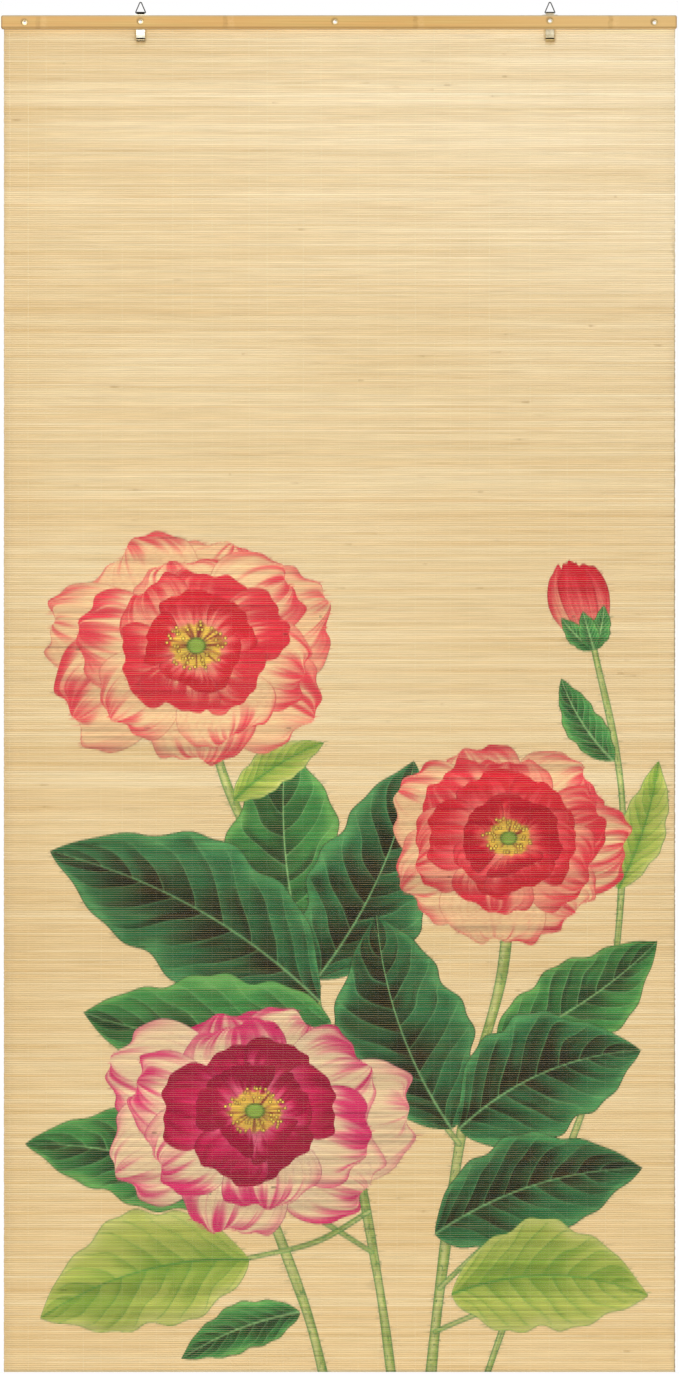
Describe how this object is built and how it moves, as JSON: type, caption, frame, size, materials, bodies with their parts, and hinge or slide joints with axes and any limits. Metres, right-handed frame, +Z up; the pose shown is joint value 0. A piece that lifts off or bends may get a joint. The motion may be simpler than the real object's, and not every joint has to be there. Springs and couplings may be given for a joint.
{
  "type": "bamboo blind",
  "caption": "Flat hanging blind of woven bamboo slivers, clamped between head laths, with wire hanging rings and small hooks.",
  "frame": {"origin": "on the line on which both rings hang, above the middle of the head", "axes": "+Z up, +X to the right seen from the front, -Y to the front"},
  "size_m": [0.9, 0.0142, 1.8254],
  "materials": {
    "bamboo_cloth": "natural bamboo slivers, printed in the lower part",
    "bamboo_lath": "planed bamboo, clear lacquer, satin",
    "nickel_plated_steel": "nickel-plated sheet steel, slightly dulled",
    "steel_wire": "bright drawn steel wire"
  },
  "bodies": {
    "root": {"cloth": "bamboo_cloth", "head_lath_front": "bamboo_lath", "head_lath_back": "bamboo_lath", "hanger_left": "nickel_plated_steel", "hanger_right": "nickel_plated_steel", "ring_left": "steel_wire", "ring_right": "steel_wire", "rivet_left_end": "nickel_plated_steel", "rivet_left_hanger": "nickel_plated_steel", "rivet_middle": "nickel_plated_steel", "rivet_right_hanger": "nickel_plated_steel", "rivet_right_end": "nickel_plated_steel"}
  },
  "joints": []
}
